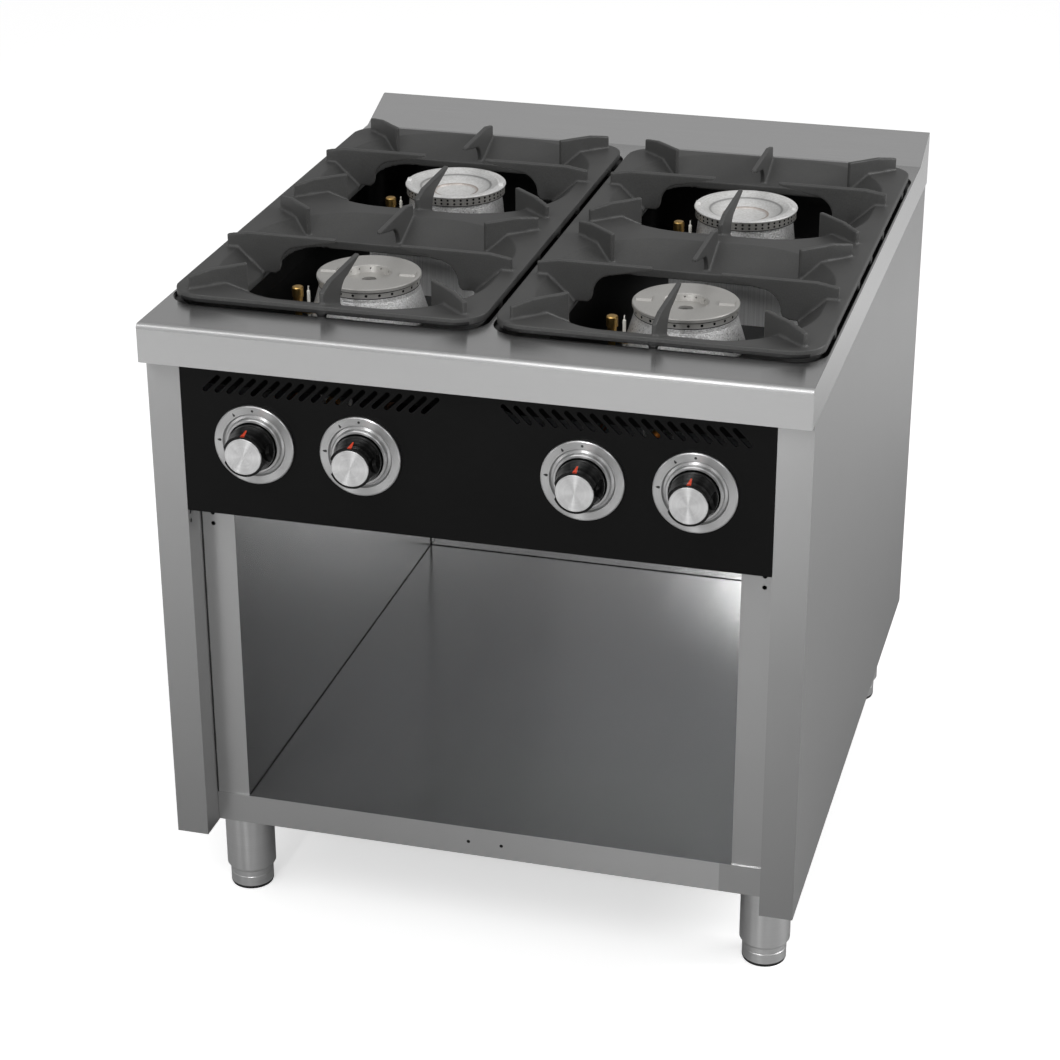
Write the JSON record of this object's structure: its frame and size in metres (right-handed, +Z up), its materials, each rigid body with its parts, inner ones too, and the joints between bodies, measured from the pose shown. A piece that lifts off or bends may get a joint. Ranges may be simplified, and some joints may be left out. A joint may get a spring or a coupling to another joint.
{
  "type": "commercial gas range",
  "caption": "Commercial gas range with cast double grates over open burners, push-and-turn control knobs, an open cabinet and levelling feet.",
  "frame": {"origin": "on the floor, under the middle of the bounding box of the whole range, knobs included", "axes": "+Z up, -Y towards the front with the knobs, +X to the right as seen from the front"},
  "size_m": [0.8, 0.95, 0.866],
  "materials": {
    "worktop_steel": "bright brushed stainless sheet",
    "panel_steel": "brushed stainless sheet",
    "cabinet_steel": "brushed stainless sheet, darker inside the cabinet",
    "galvanised": "plain galvanised sheet",
    "panel_black": "satin black paint",
    "spindle_steel": "plated steel",
    "well_enamel": "dark grey-black enamel, heat stained",
    "grate_iron": "matte enamelled casting with a fine grain",
    "burner_casting": "rough grey casting",
    "crown_metal": "turned grey casting with drilled ports",
    "cap_metal": "light grey plated casting",
    "brass": "plain brass",
    "ceramic": "white glazed ceramic",
    "copper_pipe": "copper pipe",
    "pipe_steel": "zinc-plated steel pipe",
    "knob_plastic": "black moulded plastic",
    "dial_steel": "turned and brushed stainless",
    "leg_steel": "polished stainless tube"
  },
  "bodies": {
    "range_body": {"worktop": "worktop_steel", "side_panel_left": "panel_steel", "side_panel_right": "panel_steel", "cabinet_side_left": "cabinet_steel", "cabinet_side_right": "cabinet_steel", "cabinet_shelf": "cabinet_steel", "cabinet_back": "cabinet_steel", "cabinet_ceiling": "galvanised", "control_panel": "panel_black", "rear_panel": "galvanised", "rear_screws": "spindle_steel", "base_rail_left": "galvanised", "base_rail_right": "galvanised", "burner_well_left": "well_enamel", "burner_well_right": "well_enamel", "well_baffles": "panel_steel", "burner_base_1": "burner_casting", "burner_base_2": "burner_casting", "burner_base_3": "burner_casting", "burner_base_4": "burner_casting", "pilot_burners": "brass", "spark_electrodes": "ceramic", "injectors": "brass", "supply_pipes": "copper_pipe", "pilot_pipes": "copper_pipe", "gas_manifold": "pipe_steel", "gas_inlet_pipe": "pipe_steel", "valve_bodies": "brass", "knob_bezels": "dial_steel", "leg_tubes": "leg_steel"},
    "grate_left": {"grate_left": "grate_iron"},
    "grate_right": {"grate_right": "grate_iron"},
    "burner_head_1": {"burner_crown_1": "crown_metal", "burner_cap_1": "cap_metal"},
    "burner_head_2": {"burner_crown_2": "crown_metal", "burner_cap_2": "cap_metal"},
    "burner_head_3": {"burner_crown_3": "crown_metal", "burner_cap_3": "cap_metal"},
    "burner_head_4": {"burner_crown_4": "crown_metal", "burner_cap_4": "cap_metal"},
    "valve_1": {"valve_plug_1": "brass"},
    "valve_2": {"valve_plug_2": "brass"},
    "valve_3": {"valve_plug_3": "brass"},
    "valve_4": {"valve_plug_4": "brass"},
    "knob_1": {"valve_spindle_1": "spindle_steel", "knob_body_1": "knob_plastic", "knob_cap_1": "dial_steel"},
    "knob_2": {"valve_spindle_2": "spindle_steel", "knob_body_2": "knob_plastic", "knob_cap_2": "dial_steel"},
    "knob_3": {"valve_spindle_3": "spindle_steel", "knob_body_3": "knob_plastic", "knob_cap_3": "dial_steel"},
    "knob_4": {"valve_spindle_4": "spindle_steel", "knob_body_4": "knob_plastic", "knob_cap_4": "dial_steel"},
    "levelling_foot_1": {"foot_1": "leg_steel"},
    "levelling_foot_2": {"foot_2": "leg_steel"},
    "levelling_foot_3": {"foot_3": "leg_steel"},
    "levelling_foot_4": {"foot_4": "leg_steel"}
  },
  "joints": [
    {"name": "grate_left_lift", "type": "slide", "parent": "range_body", "child": "grate_left", "axis": [0, 0, 1], "range_m": [0, 0.15]},
    {"name": "grate_right_lift", "type": "slide", "parent": "range_body", "child": "grate_right", "axis": [0, 0, 1], "range_m": [0, 0.15]},
    {"name": "burner_head_1_lift", "type": "slide", "parent": "range_body", "child": "burner_head_1", "axis": [0, 0, 1], "range_m": [0, 0.02]},
    {"name": "burner_head_2_lift", "type": "slide", "parent": "range_body", "child": "burner_head_2", "axis": [0, 0, 1], "range_m": [0, 0.02]},
    {"name": "burner_head_3_lift", "type": "slide", "parent": "range_body", "child": "burner_head_3", "axis": [0, 0, 1], "range_m": [0, 0.02]},
    {"name": "burner_head_4_lift", "type": "slide", "parent": "range_body", "child": "burner_head_4", "axis": [0, 0, 1], "range_m": [0, 0.02]},
    {"name": "valve_1_turn", "type": "hinge", "parent": "range_body", "child": "valve_1", "pos_m": [-0.2665, -0.399, 0.687], "axis": [0, -1, 0], "range_deg": [0, 180]},
    {"name": "knob_1_push", "type": "slide", "parent": "valve_1", "child": "knob_1", "axis": [0, 1, 0], "range_m": [0, 0.004], "stiffness_N_per_m": 1500, "springref_m": -0.004},
    {"name": "valve_2_turn", "type": "hinge", "parent": "range_body", "child": "valve_2", "pos_m": [0.2665, -0.399, 0.687], "axis": [0, -1, 0], "range_deg": [0, 180]},
    {"name": "knob_2_push", "type": "slide", "parent": "valve_2", "child": "knob_2", "axis": [0, 1, 0], "range_m": [0, 0.004], "stiffness_N_per_m": 1500, "springref_m": -0.004},
    {"name": "valve_3_turn", "type": "hinge", "parent": "range_body", "child": "valve_3", "pos_m": [-0.1343, -0.399, 0.687], "axis": [0, -1, 0], "range_deg": [0, 180]},
    {"name": "knob_3_push", "type": "slide", "parent": "valve_3", "child": "knob_3", "axis": [0, 1, 0], "range_m": [0, 0.004], "stiffness_N_per_m": 1500, "springref_m": -0.004},
    {"name": "valve_4_turn", "type": "hinge", "parent": "range_body", "child": "valve_4", "pos_m": [0.1343, -0.399, 0.687], "axis": [0, -1, 0], "range_deg": [0, 180]},
    {"name": "knob_4_push", "type": "slide", "parent": "valve_4", "child": "knob_4", "axis": [0, 1, 0], "range_m": [0, 0.004], "stiffness_N_per_m": 1500, "springref_m": -0.004},
    {"name": "foot_1_level", "type": "slide", "parent": "range_body", "child": "levelling_foot_1", "axis": [0, 0, -1], "range_m": [0, 0.035]},
    {"name": "foot_2_level", "type": "slide", "parent": "range_body", "child": "levelling_foot_2", "axis": [0, 0, -1], "range_m": [0, 0.035]},
    {"name": "foot_3_level", "type": "slide", "parent": "range_body", "child": "levelling_foot_3", "axis": [0, 0, -1], "range_m": [0, 0.035]},
    {"name": "foot_4_level", "type": "slide", "parent": "range_body", "child": "levelling_foot_4", "axis": [0, 0, -1], "range_m": [0, 0.035]}
  ]
}
